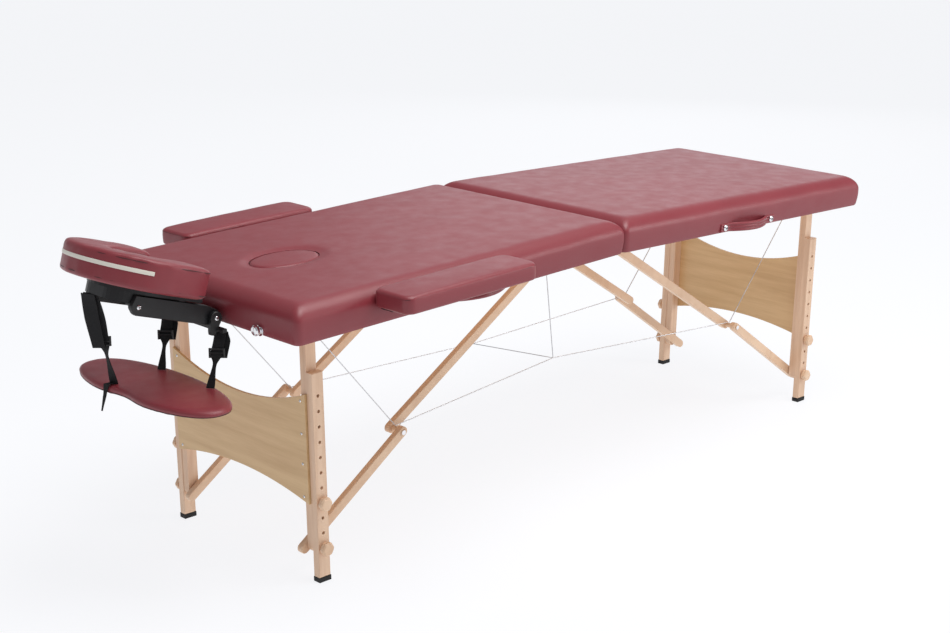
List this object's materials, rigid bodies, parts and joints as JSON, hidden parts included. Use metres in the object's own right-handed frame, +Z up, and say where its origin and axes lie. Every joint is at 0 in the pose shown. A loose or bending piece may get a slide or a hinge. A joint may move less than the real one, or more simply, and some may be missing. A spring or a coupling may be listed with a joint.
{
  "type": "portable massage table",
  "caption": "Folding massage table with a padded top in two halves, height-adjustable wooden legs, face cradle, armrests and hanging arm sling.",
  "frame": {"origin": "centre of the bounding box at floor level, under the table", "axes": "+X along the table from the head end to the foot end, +Y to the left side seen from the head end looking along +X, +Z up"},
  "size_m": [2.1403, 0.806, 0.7178],
  "materials": {
    "burgundy_leather": "soft grained artificial leather, satin",
    "beech": "clear satin lacquer",
    "honey_ply": "clear satin lacquer, horizontal grain",
    "black_rubber": "matt",
    "black_plastic": "satin moulded",
    "black_webbing": "ribbed nylon webbing",
    "steel": "plated",
    "chrome": "polished"
  },
  "bodies": {
    "head_table": {"head_frame": "beech", "head_pad": "burgundy_leather", "head_hinge_leaf": "steel", "head_carry_handle": "burgundy_leather", "right_latch_stud": "chrome", "left_latch_stud": "chrome", "right_side_cable": "steel", "left_side_cable": "steel", "centre_cable": "steel"},
    "foot_table": {"foot_frame": "beech", "foot_pad": "burgundy_leather", "foot_hinge_leaf": "steel", "foot_carry_handle": "burgundy_leather"},
    "head_legs": {"head_right_inner_leg": "beech", "head_left_inner_leg": "beech", "head_end_panel": "honey_ply"},
    "head_upper_links": {"head_right_upper_link": "beech", "head_left_upper_link": "beech"},
    "head_lower_links": {"head_right_lower_link": "beech", "head_left_lower_link": "beech"},
    "head_right_extension": {"head_right_extension_leg": "beech", "head_right_foot_cap": "black_rubber"},
    "head_right_upper_knob": {"head_right_upper_knob": "beech"},
    "head_right_lower_knob": {"head_right_lower_knob": "beech"},
    "head_left_extension": {"head_left_extension_leg": "beech", "head_left_foot_cap": "black_rubber"},
    "head_left_upper_knob": {"head_left_upper_knob": "beech"},
    "head_left_lower_knob": {"head_left_lower_knob": "beech"},
    "foot_legs": {"foot_right_inner_leg": "beech", "foot_left_inner_leg": "beech", "foot_end_panel": "honey_ply"},
    "foot_upper_links": {"foot_right_upper_link": "beech", "foot_left_upper_link": "beech"},
    "foot_lower_links": {"foot_right_lower_link": "beech", "foot_left_lower_link": "beech"},
    "foot_right_extension": {"foot_right_extension_leg": "beech", "foot_right_foot_cap": "black_rubber"},
    "foot_right_upper_knob": {"foot_right_upper_knob": "beech"},
    "foot_right_lower_knob": {"foot_right_lower_knob": "beech"},
    "foot_left_extension": {"foot_left_extension_leg": "beech", "foot_left_foot_cap": "black_rubber"},
    "foot_left_upper_knob": {"foot_left_upper_knob": "beech"},
    "foot_left_lower_knob": {"foot_left_lower_knob": "beech"},
    "face_hole_plug": {"face_hole_plug": "burgundy_leather"},
    "right_armrest": {"right_armrest": "burgundy_leather", "right_armrest_bracket": "black_plastic"},
    "left_armrest": {"left_armrest": "burgundy_leather", "left_armrest_bracket": "black_plastic"},
    "cradle_base": {"cradle_base": "black_plastic", "right_rear_strap": "black_webbing", "left_rear_strap": "black_webbing"},
    "cradle_arms": {"cradle_arms": "black_plastic"},
    "cradle_head": {"cradle_platform": "black_plastic", "cradle_cushion": "burgundy_leather"},
    "cradle_cam_lever": {"cradle_cam_lever": "black_plastic"},
    "front_strap": {"front_strap": "black_webbing"},
    "arm_sling": {"sling_board": "burgundy_leather"}
  },
  "joints": [
    {"name": "centre_fold", "type": "hinge", "parent": "head_table", "child": "foot_table", "pos_m": [0.1437, 0, 0.5455], "axis": [0, 1, 0], "range_deg": [0, 150], "deforming": ["right_side_cable", "left_side_cable", "centre_cable"]},
    {"name": "head_leg_fold", "type": "hinge", "parent": "head_table", "child": "head_legs", "pos_m": [-0.68859, 0, 0.54849], "axis": [0, 1, 0], "range_deg": [-88.09, 0]},
    {"name": "head_upper_link_fold", "type": "hinge", "parent": "head_table", "child": "head_upper_links", "pos_m": [0.09412, 0, 0.56967], "axis": [0, 1, 0], "range_deg": [0, 31.17]},
    {"name": "head_lower_link_fold", "type": "hinge", "parent": "head_legs", "child": "head_lower_links", "pos_m": [-0.67572, 0, 0.07296], "axis": [0, 1, 0], "range_deg": [-57.08, 0]},
    {"name": "head_right_leg_height", "type": "slide", "parent": "head_legs", "child": "head_right_extension", "axis": [0.027, 0, -0.9996], "range_m": [0, 0.192]},
    {"name": "head_right_upper_knob_turn", "type": "hinge", "parent": "head_legs", "child": "head_right_upper_knob", "pos_m": [-0.67832, 0, 0.16893], "axis": [0, 1, 0], "continuous": true},
    {"name": "head_right_lower_knob_turn", "type": "hinge", "parent": "head_legs", "child": "head_right_lower_knob", "pos_m": [-0.67572, 0, 0.07296], "axis": [0, 1, 0], "continuous": true},
    {"name": "head_left_leg_height", "type": "slide", "parent": "head_legs", "child": "head_left_extension", "axis": [0.027, 0, -0.9996], "range_m": [0, 0.192]},
    {"name": "head_left_upper_knob_turn", "type": "hinge", "parent": "head_legs", "child": "head_left_upper_knob", "pos_m": [-0.67832, 0, 0.16893], "axis": [0, 1, 0], "continuous": true},
    {"name": "head_left_lower_knob_turn", "type": "hinge", "parent": "head_legs", "child": "head_left_lower_knob", "pos_m": [-0.67572, 0, 0.07296], "axis": [0, 1, 0], "continuous": true},
    {"name": "foot_leg_fold", "type": "hinge", "parent": "foot_table", "child": "foot_legs", "pos_m": [0.97599, 0, 0.54849], "axis": [0, 1, 0], "range_deg": [0, 88.09]},
    {"name": "foot_upper_link_fold", "type": "hinge", "parent": "foot_table", "child": "foot_upper_links", "pos_m": [0.19328, 0, 0.56967], "axis": [0, 1, 0], "range_deg": [-31.17, 0]},
    {"name": "foot_lower_link_fold", "type": "hinge", "parent": "foot_legs", "child": "foot_lower_links", "pos_m": [0.96312, 0, 0.07296], "axis": [0, 1, 0], "range_deg": [0, 57.08]},
    {"name": "foot_right_leg_height", "type": "slide", "parent": "foot_legs", "child": "foot_right_extension", "axis": [-0.027, 0, -0.9996], "range_m": [0, 0.192]},
    {"name": "foot_right_upper_knob_turn", "type": "hinge", "parent": "foot_legs", "child": "foot_right_upper_knob", "pos_m": [0.96572, 0, 0.16893], "axis": [0, 1, 0], "continuous": true},
    {"name": "foot_right_lower_knob_turn", "type": "hinge", "parent": "foot_legs", "child": "foot_right_lower_knob", "pos_m": [0.96312, 0, 0.07296], "axis": [0, 1, 0], "continuous": true},
    {"name": "foot_left_leg_height", "type": "slide", "parent": "foot_legs", "child": "foot_left_extension", "axis": [-0.027, 0, -0.9996], "range_m": [0, 0.192]},
    {"name": "foot_left_upper_knob_turn", "type": "hinge", "parent": "foot_legs", "child": "foot_left_upper_knob", "pos_m": [0.96572, 0, 0.16893], "axis": [0, 1, 0], "continuous": true},
    {"name": "foot_left_lower_knob_turn", "type": "hinge", "parent": "foot_legs", "child": "foot_left_lower_knob", "pos_m": [0.96312, 0, 0.07296], "axis": [0, 1, 0], "continuous": true},
    {"name": "plug_lift", "type": "slide", "parent": "head_table", "child": "face_hole_plug", "axis": [-0.027, 0, 0.9996], "range_m": [0, 0.06]},
    {"name": "right_armrest_slide", "type": "slide", "parent": "head_table", "child": "right_armrest", "axis": [0, -1, 0], "range_m": [0, 0.05]},
    {"name": "left_armrest_slide", "type": "slide", "parent": "head_table", "child": "left_armrest", "axis": [0, 1, 0], "range_m": [0, 0.05]},
    {"name": "cradle_slide", "type": "slide", "parent": "head_table", "child": "cradle_base", "axis": [-0.9996, 0, -0.027], "range_m": [0, 0.06]},
    {"name": "cradle_tilt", "type": "hinge", "parent": "cradle_base", "child": "cradle_arms", "pos_m": [-0.80936, 0, 0.54192], "axis": [0, 1, 0], "range_deg": [-2, 20], "deforming": ["front_strap", "right_rear_strap", "left_rear_strap"]},
    {"name": "headrest_angle", "type": "hinge", "parent": "cradle_arms", "child": "cradle_head", "pos_m": [-0.97658, 0, 0.59352], "axis": [0, 1, 0], "range_deg": [-20, 0], "deforming": ["front_strap"]},
    {"name": "cam_lever_release", "type": "hinge", "parent": "cradle_arms", "child": "cradle_cam_lever", "pos_m": [-0.80936, 0, 0.54192], "axis": [0, 1, 0], "range_deg": [0, 70]},
    {"name": "front_strap_hang", "type": "hinge", "parent": "cradle_arms", "child": "front_strap", "pos_m": [-1.01454, 0.024, 0.60785], "axis": [0, 1, 0], "range_deg": [-20.02, 2.02]},
    {"name": "arm_sling_tilt", "type": "hinge", "parent": "cradle_base", "child": "arm_sling", "pos_m": [-0.8413, 0, 0.412], "axis": [0, 1, 0], "range_deg": [-3.51, 34.81]}
  ],
  "couplings": [
    {"joint": "head_leg_fold", "follows": "centre_fold", "ratio": -0.58667},
    {"joint": "head_upper_link_fold", "follows": "centre_fold", "ratio": 0.20757},
    {"joint": "head_lower_link_fold", "follows": "centre_fold", "ratio": -0.38015},
    {"joint": "foot_leg_fold", "follows": "centre_fold", "ratio": 0.58667},
    {"joint": "foot_upper_link_fold", "follows": "centre_fold", "ratio": -0.20757},
    {"joint": "foot_lower_link_fold", "follows": "centre_fold", "ratio": 0.38015},
    {"joint": "front_strap_hang", "follows": "cradle_tilt", "ratio": -1},
    {"joint": "arm_sling_tilt", "follows": "cradle_tilt", "ratio": 1.7388}
  ]
}
